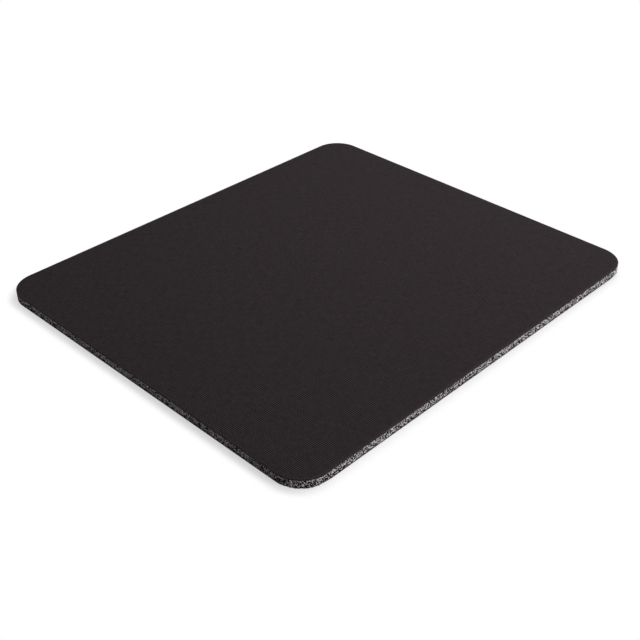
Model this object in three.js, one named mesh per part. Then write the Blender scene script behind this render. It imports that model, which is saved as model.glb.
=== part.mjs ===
// Mouse pad: four soft sheets, bonded into one board and cut to shape together by a steel rule die.
// From the desk up they are a moulded grip skin, a slab of sponge rubber, a film of hot melt adhesive
// and a face of knitted cloth. Millimetres, +Z up, with the origin at the middle of the underside.
import * as THREE from "three";

// Outline that the die cuts
const padLength = 230; // along X
const padWidth = 200; // along Y
const cornerRadius = 14;

// Thickness of each sheet, from the desk up
const skinThickness = 0.5;
const foamThickness = 3.6;
const filmThickness = 0.1;
const clothThickness = 0.6;

// The die presses the face down beside the cut, and the foam stays dented there
const pressDepth = 0.2; // at the cut
const pressWidth = 1.2; // in from the cut, where the dent has faded out

// Flat steps that stand for each curve
const cornerSteps = 12;
const pressSteps = 4;

// Heights at which the sheets meet, so that both faces of a bond are one surface
const foamBottom = skinThickness;
const filmBottom = foamBottom + foamThickness;
const clothBottom = filmBottom + filmThickness;
const padTop = clothBottom + clothThickness;

// The cut outline drawn in evenly by an inset, as points that run anticlockwise seen from above.
function outline(inset) {
  const radius = cornerRadius - inset;
  const centreX = padLength / 2 - cornerRadius;
  const centreY = padWidth / 2 - cornerRadius;
  const quarter = Math.PI / 2;
  const shape = new THREE.Shape();
  shape.absarc(centreX, centreY, radius, 0, quarter);
  shape.absarc(-centreX, centreY, radius, quarter, 2 * quarter);
  shape.absarc(-centreX, -centreY, radius, 2 * quarter, 3 * quarter);
  shape.absarc(centreX, -centreY, radius, 3 * quarter, 4 * quarter);
  return shape.getPoints(cornerSteps / 2); // an arc takes two steps for each division
}

// A flat face at a height, as one outline at the cut.
const flatFace = (height) => [{ inset: 0, height }];

// A face at a height with its rim pressed down, as outlines from the cut inwards.
function pressedFace(height) {
  const face = [];
  for (let step = 0; step <= pressSteps; step++) {
    const faded = step / pressSteps;
    face.push({ inset: pressWidth * faded, height: height - pressDepth * (1 - faded) ** 2 });
  }
  return face;
}

// A sheet closed between its two faces: outlines run from the middle of the underside out to the cut,
// up its edge and in again over the top, with a band of triangles between each two and a cap at each end.
function sheetGeometry(underside, top) {
  const profile = [...underside.toReversed(), ...top];
  const rings = profile.map(({ inset, height }) => outline(inset).map(({ x, y }) => [x, y, height]));
  const ringSize = rings[0].length;
  const lastRing = ringSize * (rings.length - 1);
  const triangles = [];
  for (let ring = 0; ring < lastRing; ring += ringSize) {
    for (let step = 0; step < ringSize; step++) {
      const here = ring + step;
      const next = ring + ((step + 1) % ringSize);
      triangles.push(here, next, next + ringSize);
      triangles.push(here, next + ringSize, here + ringSize);
    }
  }
  for (const [a, b, c] of THREE.ShapeUtils.triangulateShape(outline(0), [])) {
    triangles.push(c, b, a);
    triangles.push(lastRing + a, lastRing + b, lastRing + c);
  }
  const geometry = new THREE.BufferGeometry();
  geometry.setAttribute("position", new THREE.Float32BufferAttribute(rings.flat(2), 3));
  geometry.setIndex(triangles);
  geometry.computeVertexNormals();
  return geometry;
}

function sheet(name, underside, top, finish) {
  const material = new THREE.MeshStandardMaterial({ metalness: 0, ...finish });
  const mesh = new THREE.Mesh(sheetGeometry(underside, top), material);
  mesh.name = name;
  return mesh;
}

// The base is one moulding of sponge rubber: the foam and the closed skin that the mould leaves on it.
const base = new THREE.Group();
base.add(
  sheet("grip_skin", flatFace(0), flatFace(foamBottom), { color: 0x262425, roughness: 0.8 }),
  sheet("foam_slab", flatFace(foamBottom), pressedFace(filmBottom), { color: 0x767273, roughness: 1 }),
);

// The face is the cloth with the film that bonds it down.
const face = new THREE.Group();
face.add(
  sheet("adhesive_film", pressedFace(filmBottom), pressedFace(clothBottom), { color: 0x1d1b1c, roughness: 0.4 }),
  sheet("cloth_face", pressedFace(clothBottom), pressedFace(padTop), { color: 0x2e292a, roughness: 0.95 }),
);

const pad = new THREE.Group();
pad.add(base, face);

export default pad;
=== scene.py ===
# A cloth mouse pad, dressed on its solids: a moulded grip skin, sponge rubber, an adhesive film and knitted
# cloth, bonded into one board and cut out of it by a single die. Metres, in the part's own frame.
import math

import bmesh
import bpy
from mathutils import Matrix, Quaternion, Vector, noise


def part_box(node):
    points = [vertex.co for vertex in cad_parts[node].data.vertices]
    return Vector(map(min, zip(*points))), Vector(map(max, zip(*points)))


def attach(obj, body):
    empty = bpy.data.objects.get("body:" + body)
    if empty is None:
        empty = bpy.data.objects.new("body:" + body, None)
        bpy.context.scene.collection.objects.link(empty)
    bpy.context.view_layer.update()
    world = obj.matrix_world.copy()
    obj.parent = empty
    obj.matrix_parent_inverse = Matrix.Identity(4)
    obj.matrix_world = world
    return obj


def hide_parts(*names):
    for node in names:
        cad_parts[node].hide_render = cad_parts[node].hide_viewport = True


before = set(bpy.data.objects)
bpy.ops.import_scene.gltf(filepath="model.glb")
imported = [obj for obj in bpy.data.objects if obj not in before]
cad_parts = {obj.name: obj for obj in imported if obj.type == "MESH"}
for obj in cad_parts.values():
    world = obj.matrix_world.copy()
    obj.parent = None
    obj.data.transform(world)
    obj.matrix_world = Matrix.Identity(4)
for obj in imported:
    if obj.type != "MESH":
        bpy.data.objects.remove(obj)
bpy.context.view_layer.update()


# Grip skin: the dense closed skin that the mould leaves on the underside of the sponge rubber.
# The mould's engraved plate presses a waffle of ribs into it, which grip the desk.
# It comes out of the mould in one piece with the foam, and the die cuts straight through the waffle.
skin_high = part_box("grip_skin")[1]
half_length, half_width = skin_high.x, skin_high.y
hair = 1e-6
skin_points = [vertex.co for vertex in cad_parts["grip_skin"].data.vertices]
corner_x = max(point.x for point in skin_points if point.y > half_width - hair)
corner_radius = half_length - corner_x
corner_y = half_width - corner_radius
corner_flats = 16
cut_length = 2 * math.pi * corner_radius + 4 * (corner_x + corner_y)
blade_touch = 1e-7
waffle_pitch = 0.0025
rib_width = 0.0007
waffle_depth = 0.00022
waffle_slope = 0.0003
bloom_size = 1 / 90
skin_cell = 0.00035
skin_grain_size = 0.00025
skin_grain_depth = 0.00004
rubbed_roughness = 0.55
moulded_roughness = 0.85
skin_black = (0.012, 0.011, 0.0115)
bloom_grey = (0.024, 0.022, 0.0225)
skin_pit_black = (0.012, 0.011, 0.0113)
skin_wall_grey = (0.33, 0.303, 0.309)
map_margin = 0.005


def corner_centre(point):
    """The nearest point of the rectangle that joins the centres of the four round corners."""
    near_x = min(max(point.x, -corner_x), corner_x)
    near_y = min(max(point.y, -corner_y), corner_y)
    return Vector((near_x, near_y, point.z))


def along_cut(point):
    """How far round the cut a point beside it lies, anticlockwise from the front end of the right side."""
    centre = corner_centre(point)
    turn = math.atan2(point.y - centre.y, point.x - centre.x) % (2 * math.pi)
    straight = (
        corner_y + centre.y,
        2 * corner_y + corner_x - centre.x,
        3 * corner_y + 2 * corner_x - centre.y,
        4 * corner_y + 3 * corner_x + centre.x,
    )
    return corner_radius * turn + straight[int(turn / (math.pi / 2) + hair) % 4]


def flat_board(length, width, cells_long=1, cells_wide=1):
    """A flat board of a length and a width, divided into cells."""
    board = bmesh.new()
    bmesh.ops.create_grid(board, x_segments=cells_long, y_segments=cells_wide, size=0.5)
    bmesh.ops.scale(board, vec=(length, width, 1), verts=board.verts)
    return board


def die_cut(board):
    """Cuts a board along the sides of the pad and the flats of its round corners."""
    for flat in range(4 * corner_flats):
        turn = flat * math.pi / 2 / corner_flats
        outward = Vector((math.cos(turn), math.sin(turn), 0))
        blade = corner_centre(outward) + outward * corner_radius
        everything = board.verts[:] + board.edges[:] + board.faces[:]
        bmesh.ops.bisect_plane(
            board, geom=everything, dist=blade_touch, plane_co=blade, plane_no=outward, clear_outer=True
        )


def new_parts(made, kind):
    """The points, edges or faces among what an operator made."""
    return [part for part in made["geom"] if isinstance(part, kind)]


def spread_face(board, faces, start, scale):
    """Spreads faces on a piece's bake map as they are seen from above, from a start at a scale."""
    bake_map = board.loops.layers.uv["OFBake"]
    for face in faces:
        for corner in face.loops:
            from_left = corner.vert.co.x + half_length
            from_front = corner.vert.co.y + half_width
            corner[bake_map].uv = (start[0] + from_left * scale, start[1] + from_front * scale)


def spread_cut(board, faces, start, rows, row_pitch):
    """Spreads the faces of a cut edge on a piece's bake map, in rows that together go once round the pad."""
    bake_map = board.loops.layers.uv["OFBake"]
    low = min(point.co.z for face in faces for point in face.verts)
    row_length = cut_length / rows
    scale = (1 - 2 * start[0]) / row_length
    for face in faces:
        places = [along_cut(corner.vert.co) for corner in face.loops]
        if max(places) - min(places) > cut_length / 2:
            places = [place if place > cut_length / 2 else place + cut_length for place in places]
        row = min(rows - 1, int(sum(places) / len(places) / row_length))
        for corner, place in zip(face.loops, places):
            from_row = place - row * row_length
            from_low = corner.vert.co.z - low
            corner[bake_map].uv = (start[0] + from_row * scale, start[1] + row * row_pitch + from_low * scale)


def spread_sheet(board, shown, cut, hidden):
    """Gives a thin sheet its bake map: the shown face large, then the cut edge and the hidden face small."""
    whole_map = (1 - 2 * map_margin) / (2 * half_length)
    spread_face(board, shown, start=(map_margin, map_margin), scale=whole_map)
    spread_cut(board, cut, start=(map_margin, 0.875), rows=8, row_pitch=0.0085)
    spread_face(board, hidden, start=(2 * map_margin, 0.95), scale=0.2)


def finished(name, board, finish, crease):
    """A piece of the pad from its board, smooth but for edges that turn more than the crease."""
    bmesh.ops.recalc_face_normals(board, faces=board.faces)
    mesh = bpy.data.meshes.new(name)
    board.to_mesh(mesh)
    board.free()
    mesh.shade_smooth()
    mesh.set_sharp_from_angle(angle=crease)
    mesh.materials.append(finish)
    piece = bpy.data.objects.new(name, mesh)
    bpy.context.scene.collection.objects.link(piece)
    return piece


def new_finish(name, values):
    """A material and its shader, with the values that are the same all over the surface."""
    finish = bpy.data.materials.new(name)
    finish.use_nodes = True
    shader = finish.node_tree.nodes["Principled BSDF"]
    for socket, value in values.items():
        shader.inputs[socket].default_value = value
    return finish, shader


def drawn(finish, kind, inputs, **settings):
    """A node of a finish, with each input set to a value or joined to another node's output."""
    node = finish.node_tree.nodes.new("ShaderNode" + kind)
    for setting, value in settings.items():
        setattr(node, setting, value)
    for socket, value in inputs.items():
        if isinstance(value, bpy.types.NodeSocket):
            finish.node_tree.links.new(value, node.inputs[socket])
        else:
            node.inputs[socket].default_value = value
    return node


def joined(finish, output, shader, socket):
    """Joins a node's output to a socket of a shader."""
    finish.node_tree.links.new(output, shader.inputs[socket])


def own_place(finish):
    """Where a point of the surface lies in the piece's own frame."""
    return drawn(finish, "TexCoord", {}).outputs["Object"]


def marked(finish, mark):
    """The number that a mark on the piece's mesh holds."""
    return drawn(finish, "Attribute", {}, attribute_name=mark).outputs["Fac"]


def plotted(finish, operation, *values, output="Vector"):
    """The result of one reckoning with places."""
    return drawn(finish, "VectorMath", dict(enumerate(values)), operation=operation).outputs[output]


def mottled(finish, place, size, detail, roughness=0.5):
    """Random mottling from zero to one, in spots of about a size."""
    spots = {"Vector": place, "Scale": 1 / size, "Detail": detail, "Roughness": roughness}
    return drawn(finish, "TexNoise", spots).outputs["Fac"]


def strayed(finish, place, size, detail, reach):
    """A place that strays by up to a reach, at random, in waves of about a size."""
    waves = drawn(finish, "TexNoise", {"Vector": place, "Scale": 1 / size, "Detail": detail})
    return plotted(finish, "MULTIPLY_ADD", waves.outputs["Color"], reach, place)


def torn_cells(finish, place, size, reach):
    """A random number from zero to one for each cell of about a size, with outlines torn by up to a reach."""
    torn_place = strayed(finish, place, size, detail=3, reach=(reach, reach, reach))
    cells = drawn(finish, "TexVoronoi", {"Vector": torn_place, "Scale": 1 / size})
    return drawn(finish, "SeparateColor", {"Color": cells.outputs["Color"]}).outputs["Red"]


def two_tones(finish, share, dark, pale, start=0.0, end=1.0):
    """A colour that goes from dark to pale as a share rises from a start to an end."""
    tones = drawn(finish, "ValToRGB", {"Fac": share})
    first, last = tones.color_ramp.elements
    first.position = start
    first.color = (*dark, 1)
    last.position = end
    last.color = (*pale, 1)
    return tones.outputs["Color"]


def roughened(finish, shader, height, strength, depth):
    """Gives a surface a fine relief of a depth."""
    relief = drawn(finish, "Bump", {"Height": height, "Strength": strength, "Distance": depth})
    joined(finish, relief.outputs["Normal"], shader, "Normal")


cells_long = math.ceil(2 * half_length / waffle_pitch) + 1
cells_wide = math.ceil(2 * half_width / waffle_pitch) + 1
skin_board = flat_board(cells_long * waffle_pitch, cells_wide * waffle_pitch, cells_long, cells_wide)
skin_board.loops.layers.uv.new("OFBake")
cut_wall = skin_board.faces.layers.float.new("cut_wall")
cells = skin_board.faces[:]
bmesh.ops.inset_individual(skin_board, faces=cells, thickness=rib_width / 2)
bmesh.ops.inset_individual(skin_board, faces=cells, thickness=waffle_slope)
cell_floors = [corner for cell in cells for corner in cell.verts]
bmesh.ops.translate(skin_board, vec=(0, 0, waffle_depth), verts=cell_floors)
die_cut(skin_board)
skin_under = skin_board.faces[:]
cut_edges = [edge for edge in skin_board.edges if edge.is_boundary]
raised = bmesh.ops.extrude_edge_only(skin_board, edges=cut_edges)
for point in new_parts(raised, bmesh.types.BMVert):
    point.co.z = skin_high.z
skin_cut = new_parts(raised, bmesh.types.BMFace)
for face in skin_cut:
    face[cut_wall] = 1
open_rim = [edge for edge in skin_board.edges if edge.is_boundary]
skin_top = bmesh.ops.contextual_create(skin_board, geom=open_rim)["faces"]
spread_sheet(skin_board, shown=skin_under, cut=skin_cut, hidden=skin_top)

skin_finish, skin_shader = new_finish("moulded_rubber_skin", {"Specular IOR Level": 0.25})
skin_place = own_place(skin_finish)
skin_bloom = mottled(skin_finish, skin_place, bloom_size, detail=6, roughness=0.6)
moulded_colour = two_tones(skin_finish, skin_bloom, skin_black, bloom_grey, start=0.3, end=0.75)
skin_pale = torn_cells(skin_finish, skin_place, skin_cell, reach=skin_cell)
cut_colour = two_tones(skin_finish, skin_pale, skin_pit_black, skin_wall_grey, start=0.35, end=0.85)
skin_colour = drawn(
    skin_finish, "MixRGB",
    {"Fac": marked(skin_finish, "cut_wall"), "Color1": moulded_colour, "Color2": cut_colour},
)
joined(skin_finish, skin_colour.outputs["Color"], skin_shader, "Base Color")
skin_height = drawn(skin_finish, "SeparateXYZ", {"Vector": skin_place}).outputs["Z"]
skin_rubbed = drawn(
    skin_finish, "MapRange",
    {"Value": skin_height, "From Max": waffle_depth, "To Min": rubbed_roughness, "To Max": moulded_roughness},
)
joined(skin_finish, skin_rubbed.outputs["Result"], skin_shader, "Roughness")
skin_grain = mottled(skin_finish, skin_place, skin_grain_size, detail=3)
roughened(skin_finish, skin_shader, skin_grain, strength=0.4, depth=skin_grain_depth)

grip_skin = finished("moulded_grip_skin", skin_board, skin_finish, crease=math.radians(30))
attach(grip_skin, "root")
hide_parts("grip_skin")


# Foam slab: sponge rubber, blown full of small gas cells and moulded as a sheet.
# The die slices the cells open, so the cut edge shows pale cell walls round pits, whose colour is painted
# dark with their depth as shade.
# The cloth is bonded on its top, and the die leaves its upper rim pressed down.
foam_low, foam_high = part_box("foam_slab")
foam_points = [vertex.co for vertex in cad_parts["foam_slab"].data.vertices]
foam_rim = max(point.z for point in foam_points if point.x > half_length - hair)
foam_flat_end = max(point.x for point in foam_points if point.z > foam_high.z - hair)
press_width = half_length - foam_flat_end
foam_step = 0.0002
cell_spacing = 0.0008
cell_radius = 0.00042
usual_cell = 0.6
cell_spread = 0.4
cell_draw = 7.0
low_cell_swell = 1.25
upward_shrink = 0.4
cells_near = 3
deepest_pit = 0.0004
# The cut's colour darkens towards its foot, from the skin up to this height.
dark_foot_height = 0.0003
torn_wall = 0.00046
tear_reach = 0.0006
cell_patch = 0.004
patch_spread = 1.0
foam_grain_size = 0.00028
foam_grain_depth = 0.00008
grain_spread = 0.95
# The dark end is the rubber's dark cells and the painted shade in the pits.
pit_shade_and_dark_tone = (0.015, 0.0137, 0.014)
wall_grey = (0.77, 0.707, 0.72)


def pad_outline(step):
    """A board with one face of the pad's outline, with points at most a step apart along the cut."""
    board = flat_board(2 * half_length, 2 * half_width)
    quarter_round = math.pi / 2 * corner_radius
    bmesh.ops.bevel(
        board, geom=board.verts[:], offset=corner_radius, offset_type="OFFSET", affect="VERTICES",
        segments=math.ceil(quarter_round / step), profile=0.5, material=-1,
    )
    for side in [edge for edge in board.edges if edge.calc_length() > corner_radius]:
        bmesh.ops.subdivide_edges(board, edges=[side], cuts=math.ceil(side.calc_length() / step) - 1)
    return board


def raise_rim(board, rim, height, inset):
    """Carries the open rim of a board on to a height, at an inset from the cut, and returns the new rim."""
    carried = bmesh.ops.extrude_edge_only(board, edges=rim)
    points = set(new_parts(carried, bmesh.types.BMVert))
    for point in points:
        centre = corner_centre(point.co)
        outward = (point.co - centre).normalized()
        point.co = centre + outward * (corner_radius - inset)
        point.co.z = height
    return [edge for edge in new_parts(carried, bmesh.types.BMEdge) if points.issuperset(edge.verts)]


def faces_by_height(board, low, high):
    """The faces of a board up to a low height, those between it and a high one, and those above."""
    middles = {face: face.calc_center_median().z for face in board.faces}
    under = [face for face, middle in middles.items() if middle < low + hair]
    between = [face for face, middle in middles.items() if low + hair <= middle <= high]
    above = [face for face, middle in middles.items() if middle > high]
    return under, between, above


def pit_depth(point, outward):
    """How far the sliced gas cells reach in from a point of the cut. The cells are larger low down."""
    above_skin = (point.z - foam_low.z) / (foam_rim - foam_low.z)
    deepest = 0.0
    centres = noise.voronoi(point / cell_spacing)[1]
    for centre in centres[:cells_near]:
        share = usual_cell + cell_spread * noise.cell(centre * cell_draw)
        radius = cell_radius * share * (low_cell_swell - upward_shrink * above_skin)
        from_cell = point - centre * cell_spacing
        off_axis = from_cell - outward * from_cell.dot(outward)
        if off_axis.length < radius:
            floor = math.sqrt(radius ** 2 - off_axis.length_squared) + from_cell.dot(outward)
            deepest = max(deepest, floor)
    return min(deepest, deepest_pit)


def reckoned(finish, operation, *values, **settings):
    """The result of one reckoning with numbers."""
    return drawn(finish, "Math", dict(enumerate(values)), operation=operation, **settings).outputs[0]


def varied(finish, share, spread):
    """A factor that a random share spreads about one."""
    return reckoned(finish, "MULTIPLY_ADD", share, spread, 1 - spread / 2)


foam_board = pad_outline(foam_step)
foam_board.loops.layers.uv.new("OFBake")
pit_shade_and_dark_foot = foam_board.verts.layers.float.new("pit_shade_and_dark_foot")
bmesh.ops.translate(foam_board, vec=(0, 0, foam_low.z), verts=foam_board.verts)
rim = foam_board.edges[:]
foam_layers = round((foam_rim - foam_low.z) / foam_step)
for layer in range(1, foam_layers + 1):
    height = foam_low.z + (foam_rim - foam_low.z) * layer / foam_layers
    rim = raise_rim(foam_board, rim, height, 0)
cut_points = foam_board.verts[:]
rim = raise_rim(foam_board, rim, foam_high.z, press_width)
bmesh.ops.contextual_create(foam_board, geom=rim)
foam_under, foam_cut, foam_top = faces_by_height(foam_board, foam_low.z, foam_rim)
spread_face(foam_board, foam_under, start=(0.01, 0.01), scale=0.3)
spread_face(foam_board, foam_top, start=(0.1, 0.01), scale=0.3)
spread_cut(foam_board, foam_cut, start=(map_margin, 0.1), rows=14, row_pitch=0.0635)
for point in cut_points:
    centre = corner_centre(point.co)
    outward = (point.co - centre).normalized()
    depth = pit_depth(point.co, outward)
    # Painted shade: the colour darkens with the depth of the pit, and over the foot of the cut.
    point[pit_shade_and_dark_foot] = (1 - depth / deepest_pit) * min(1.0, (point.co.z - foam_low.z) / dark_foot_height)
    point.co -= outward * depth

foam_finish, foam_shader = new_finish("sponge_rubber", {"Roughness": 1, "Specular IOR Level": 0.1})
foam_place = own_place(foam_finish)
wall_pale = torn_cells(foam_finish, foam_place, torn_wall, tear_reach)
# The cell walls' tone is multiplied by the painted pit shade.
wall_with_pit_shade = reckoned(foam_finish, "MULTIPLY", wall_pale, marked(foam_finish, "pit_shade_and_dark_foot"))
foam_patch = mottled(foam_finish, foam_place, cell_patch, detail=2)
foam_pale = reckoned(foam_finish, "MULTIPLY", wall_with_pit_shade, varied(foam_finish, foam_patch, patch_spread))
foam_grain = mottled(foam_finish, foam_place, foam_grain_size, detail=3)
foam_speckled = reckoned(foam_finish, "MULTIPLY_ADD", foam_grain, grain_spread, foam_pale)
foam_colour = two_tones(foam_finish, foam_speckled, pit_shade_and_dark_tone, wall_grey, start=0.86, end=0.99)
joined(foam_finish, foam_colour, foam_shader, "Base Color")
roughened(foam_finish, foam_shader, foam_grain, strength=0.6, depth=foam_grain_depth)

foam_slab = finished("sponge_rubber_slab", foam_board, foam_finish, crease=math.radians(70))
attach(foam_slab, "root")
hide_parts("foam_slab")


# Adhesive film: hot melt adhesive, cast as a thin film.
# A heated press melts it between the cloth and the foam, and so bonds the two.
# It shows only at the cut, as a fine dark line that the die leaves a little behind the cloth.
film_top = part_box("adhesive_film")[1].z
film_draw = 0.00006
sheet_step = 0.0012
rim_steps = 4
flow_size = 1 / 900
film_black = (0.008, 0.0073, 0.0076)
film_grey = (0.02, 0.0185, 0.019)


def pressed(height, faded):
    """The height of a face where the dent beside the cut has faded out by a share."""
    return height - (foam_high.z - foam_rim) * (1 - faded) ** 2


def bonded_sheet(underside, top, draw):
    """A closed sheet between two heights, with its rim pressed down and its cut edge drawn in a little."""
    board = pad_outline(sheet_step)
    bmesh.ops.delete(board, geom=board.faces[:], context="FACES_ONLY")
    first = rim = board.edges[:]
    for point in board.verts:
        point.co.z = pressed(underside, 0)
    for step in range(rim_steps + 1):
        faded = step / rim_steps
        rim = raise_rim(board, rim, pressed(top, faded), draw + press_width * faded)
    bmesh.ops.contextual_create(board, geom=rim)
    rim = first
    for step in range(1, rim_steps + 1):
        faded = step / rim_steps
        rim = raise_rim(board, rim, pressed(underside, faded), press_width * faded)
    bmesh.ops.contextual_create(board, geom=rim)
    return board


film_board = bonded_sheet(foam_high.z, film_top, film_draw)

film_finish, film_shader = new_finish("hot_melt_adhesive", {"Roughness": 0.4, "Specular IOR Level": 0.4})
film_flow = mottled(film_finish, own_place(film_finish), flow_size, detail=4)
joined(film_finish, two_tones(film_finish, film_flow, film_black, film_grey), film_shader, "Base Color")

adhesive_film = finished("hot_melt_film", film_board, film_finish, crease=math.radians(40))
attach(adhesive_film, "root")
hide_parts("adhesive_film")


# Cloth face: a fine jersey knit of dyed polyester yarn, bonded flat on the foam.
# Its columns of V stitches run along the short side.
# The die rolls its edge down a little and cuts the yarns off flush with the foam.
cloth_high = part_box("cloth_face")[1].z
wale_pitch = 0.00088
course_pitch = 0.00088
stitch_lean = 0.35
leg_relief = 0.25
yarn_relief = 0.00012
yarn_length = 0.004
yarn_spread = 0.6
yarn_sway = 0.0006
sway_length = 1 / 120
fibre_size = 1 / 9000
fibre_fuzz = 0.2
# The rolled rim is made paler, partly for its frayed yarn ends and partly as painted light where it turns
# away from the lamps.
rim_light_and_fray_gain = 1.2
# The groove colour is painted shade between the yarns.
groove_shade_black = (0.0035, 0.0028, 0.003)
yarn_black = (0.0515, 0.041, 0.0443)

cloth_board = bonded_sheet(film_top, cloth_high, 0)
cloth_board.loops.layers.uv.new("OFBake")
# A mark that rises towards the cut, for the rim's paleness: frayed yarn ends and painted light.
fray_and_painted_rim_light = cloth_board.verts.layers.float.new("fray_and_painted_rim_light")
for point in cloth_board.verts:
    inset = corner_radius - (point.co - corner_centre(point.co)).length
    point[fray_and_painted_rim_light] = max(0.0, 1 - inset / press_width) ** 2
cloth_under, cloth_cut, cloth_top = faces_by_height(cloth_board, film_top, pressed(cloth_high, 0))
spread_sheet(cloth_board, shown=cloth_top, cut=cloth_cut, hidden=cloth_under)

cloth_finish, cloth_shader = new_finish("knitted_cloth", {"Roughness": 0.95, "Specular IOR Level": 0.03})


def knitted(operation, *values):
    """The result of one reckoning in the knit's pattern."""
    return reckoned(cloth_finish, operation, *values)


def yarn_round(count, yarns):
    """The round backs of the yarns at each count of the pattern, from zero between them to one on top."""
    half_yarn = 0.5 / yarns
    from_edge = knitted("PINGPONG", count, half_yarn)
    return knitted("SINE", knitted("MULTIPLY", from_edge, math.pi / 2 / half_yarn))


cloth_place = own_place(cloth_finish)
swayed = strayed(cloth_finish, cloth_place, sway_length, detail=1, reach=(yarn_sway, yarn_sway, 0))
cloth_spot = drawn(cloth_finish, "SeparateXYZ", {"Vector": swayed}).outputs
wales = knitted("DIVIDE", cloth_spot["X"], wale_pitch)
courses = knitted("DIVIDE", cloth_spot["Y"], course_pitch)
from_groove = knitted("PINGPONG", wales, 0.5)
leaned = knitted("MULTIPLY_ADD", from_groove, -2 * stitch_lean, courses)
stitch = knitted("MULTIPLY", yarn_round(leaned, 1), yarn_round(wales, 1))
legs = knitted("MULTIPLY_ADD", yarn_round(wales, 2), leg_relief, 1 - leg_relief)
fibres = mottled(cloth_finish, cloth_place, fibre_size, detail=2)
fuzzy_height = knitted("MULTIPLY_ADD", fibres, fibre_fuzz, knitted("MULTIPLY", stitch, legs))
# The rim is painted paler: partly its frayed yarn ends, partly painted light on its shaded slope.
yarn_tone_and_rim_light = knitted("MULTIPLY_ADD", marked(cloth_finish, "fray_and_painted_rim_light"), rim_light_and_fray_gain, 1)
# The yarn is thick and thin by turns, first along the rows and then along the columns.
for length, width in ((yarn_length, course_pitch / 2), (wale_pitch / 2, yarn_length)):
    along = plotted(cloth_finish, "MULTIPLY", cloth_place, (1 / length, 1 / width, 0))
    thick = mottled(cloth_finish, along, 1, detail=0)
    yarn_tone_and_rim_light = knitted("MULTIPLY", yarn_tone_and_rim_light, varied(cloth_finish, thick, yarn_spread))
# Painted shade: the colour darkens into the grooves between the yarns, by the knit's height.
yarn_tone_with_groove_shade = knitted("MULTIPLY", fuzzy_height, yarn_tone_and_rim_light)
joined(cloth_finish, two_tones(cloth_finish, yarn_tone_with_groove_shade, groove_shade_black, yarn_black), cloth_shader, "Base Color")
roughened(cloth_finish, cloth_shader, fuzzy_height, strength=1, depth=yarn_relief)

cloth_face = finished("knitted_cloth_face", cloth_board, cloth_finish, crease=math.radians(50))
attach(cloth_face, "root")
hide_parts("cloth_face")


# Studio: a white table, a large soft light on the right, a low one in front, a weak one behind and a pale
# surround. Round the pad the table keeps the pad's shade, which a glow evens out, and beyond that and from
# below it is plain white. A hole in it, under the pad, lets a light below show the pad's underside.
surround_strength = 0.17
floor_reach = 3.0
floor_hole = 0.001
floor_level = -0.00002
floor_bounce = 0.15
floor_white = 0.51
bright_turn = math.radians(75)
glow_under_pad = 0.5
glow_slope = -0.74
shade_reach = 0.0024
plain_reach = 0.0062


def towards(turn, height):
    """The direction of a place round the pad, by its turn from the front and its height."""
    return Vector((math.sin(turn) * math.cos(height), -math.cos(turn) * math.cos(height), math.sin(height)))


def soft_light(name, turn, height, distance, size, power):
    """A round soft light that faces the pad from a distance, at a turn and a height in degrees."""
    lamp = bpy.data.lights.new(name, "AREA")
    lamp.shape = "DISK"
    lamp.size = size
    lamp.energy = power
    light = bpy.data.objects.new(name, lamp)
    direction = towards(math.radians(turn), math.radians(height))
    light.location = direction * distance
    light.rotation_euler = direction.to_track_quat("Z", "Y").to_euler()
    bpy.context.scene.collection.objects.link(light)


soft_light("right_light", turn=80, height=51, distance=0.58, size=0.86, power=4.45)
soft_light("front_light", turn=14, height=15, distance=1.1, size=0.5, power=4.7)
soft_light("back_light", turn=160, height=45, distance=1.1, size=0.6, power=1.0)
soft_light("under_light", turn=-30, height=-40, distance=1.1, size=0.4, power=15)


def seen_rays(finish):
    """One where a ray shows the background, straight or in a gloss, and zero where it carries light."""
    rays = drawn(finish, "LightPath", {}).outputs
    seen = rays["Is Camera Ray"]
    for mirrored in (rays["Is Glossy Ray"], rays["Is Transmission Ray"]):
        seen = reckoned(finish, "MAXIMUM", seen, mirrored)
    return seen


surround = bpy.data.worlds.new("pale_surround")
surround.use_nodes = True
sky = surround.node_tree.nodes["Background"]
sky.inputs["Color"].default_value = (1, 1, 1, 1)
sky_strength = reckoned(
    surround, "MULTIPLY_ADD", seen_rays(surround), 1 - surround_strength, surround_strength
)
joined(surround, sky_strength, sky, "Strength")
bpy.context.scene.world = surround

floor_board = pad_outline(sheet_step)
bmesh.ops.delete(floor_board, geom=floor_board.faces[:], context="FACES_ONLY")
rim = floor_board.edges[:]
raise_rim(floor_board, rim, 0, floor_hole)
raise_rim(floor_board, rim, 0, -floor_reach)
bmesh.ops.translate(floor_board, vec=(0, 0, floor_level), verts=floor_board.verts)

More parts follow.
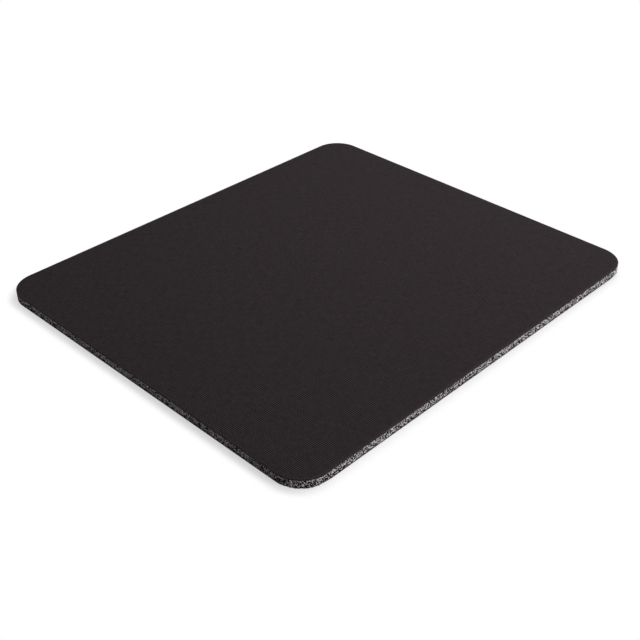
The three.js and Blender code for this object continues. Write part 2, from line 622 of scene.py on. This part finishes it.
bounce_colour = (floor_bounce, floor_bounce, floor_bounce, 1)
floor_finish, floor_shader = new_finish(
    "white_table", {"Base Color": bounce_colour, "Roughness": 1, "Specular IOR Level": 0}
)
floor_place = own_place(floor_finish)
lamp_side = plotted(floor_finish, "DOT_PRODUCT", floor_place, towards(bright_turn, 0), output="Value")
glow_strength = reckoned(
    floor_finish, "MULTIPLY_ADD", lamp_side, glow_slope, glow_under_pad, use_clamp=True
)
glow = drawn(floor_finish, "Emission", {"Strength": glow_strength})
white = drawn(floor_finish, "BsdfDiffuse", {"Color": (floor_white, floor_white, floor_white, 1)})
lit_white = drawn(floor_finish, "AddShader", {0: white.outputs[0], 1: glow.outputs[0]})
plain_white = drawn(floor_finish, "Emission", {"Strength": 1})
folded_place = plotted(floor_finish, "ABSOLUTE", floor_place)
past_corners = plotted(floor_finish, "SUBTRACT", folded_place, (corner_x, corner_y, 0))
off_corners = plotted(floor_finish, "MAXIMUM", past_corners, (0, 0, 0))
from_corners = plotted(floor_finish, "LENGTH", off_corners, output="Value")
shade_faded = drawn(
    floor_finish, "MapRange",
    {"Value": from_corners, "From Min": corner_radius + shade_reach, "From Max": corner_radius + plain_reach},
    interpolation_type="SMOOTHSTEP",
).outputs["Result"]
table_back = drawn(floor_finish, "NewGeometry", {}).outputs["Backfacing"]
plain = reckoned(floor_finish, "MAXIMUM", shade_faded, table_back)
table_seen = drawn(floor_finish, "MixShader", {0: plain, 1: lit_white.outputs[0], 2: plain_white.outputs[0]})
table_top = drawn(
    floor_finish, "MixShader",
    {0: seen_rays(floor_finish), 1: floor_shader.outputs[0], 2: table_seen.outputs[0]},
)
joined(floor_finish, table_top.outputs[0], floor_finish.node_tree.nodes["Material Output"], "Surface")
floor = finished("white_table", floor_board, floor_finish, crease=math.pi)
floor.data.flip_normals()


# Camera: it looks down across the pad's front left corner, from the photo's viewpoint.
# That was solved from the places of the pad's four sides and round corners in the square picture.
view_turn = math.radians(-45.84)
view_height = math.radians(34.5)
view_tilt = math.radians(0.065)
view_distance = 0.4951
view_width = math.radians(33.29)
looked_at = Vector((-0.0256, -0.0227, 0))

camera_lens = bpy.data.cameras.new("photo_camera")
camera_lens.angle = view_width
camera = bpy.data.objects.new("photo_camera", camera_lens)
towards_camera = towards(view_turn, view_height)
camera.location = looked_at + towards_camera * view_distance
level_view = towards_camera.to_track_quat("Z", "Y")
camera.rotation_euler = (level_view @ Quaternion((0, 0, 1), view_tilt)).to_euler()
bpy.context.scene.collection.objects.link(camera)
bpy.context.scene.camera = camera
bpy.context.scene.view_settings.view_transform = "Standard"
